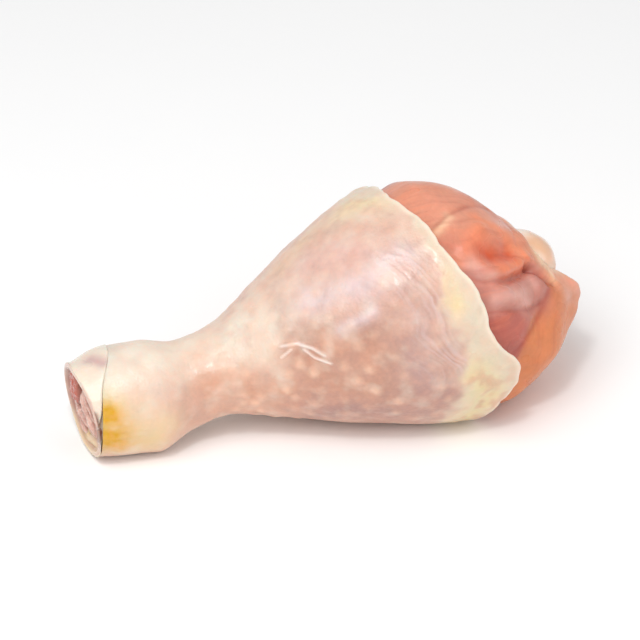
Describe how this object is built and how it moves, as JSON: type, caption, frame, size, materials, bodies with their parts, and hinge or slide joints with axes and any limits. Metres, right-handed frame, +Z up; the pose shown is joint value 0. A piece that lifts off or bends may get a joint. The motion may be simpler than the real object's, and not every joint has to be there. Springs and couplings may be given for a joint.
{
  "type": "raw chicken drumstick",
  "caption": "Raw chicken drumstick on its side: pale skin sleeve from the cut ankle to a wavy edge, bare red muscle and knuckle at the knee.",
  "frame": {"origin": "on the resting surface, under the middle of the part's box", "axes": "+X along the leg from the cut ankle to the knee, +Z up from the resting surface, -Y the side with the loose skin corner"},
  "size_m": [0.1203, 0.0603, 0.0526],
  "materials": {
    "skin": "moist, translucent",
    "meat": "wet, fibrous",
    "bone": "smooth, moist",
    "tendon": "wet"
  },
  "bodies": {
    "root": {"skin": "skin", "meat": "meat", "bone": "bone", "tendon": "tendon"}
  },
  "joints": []
}
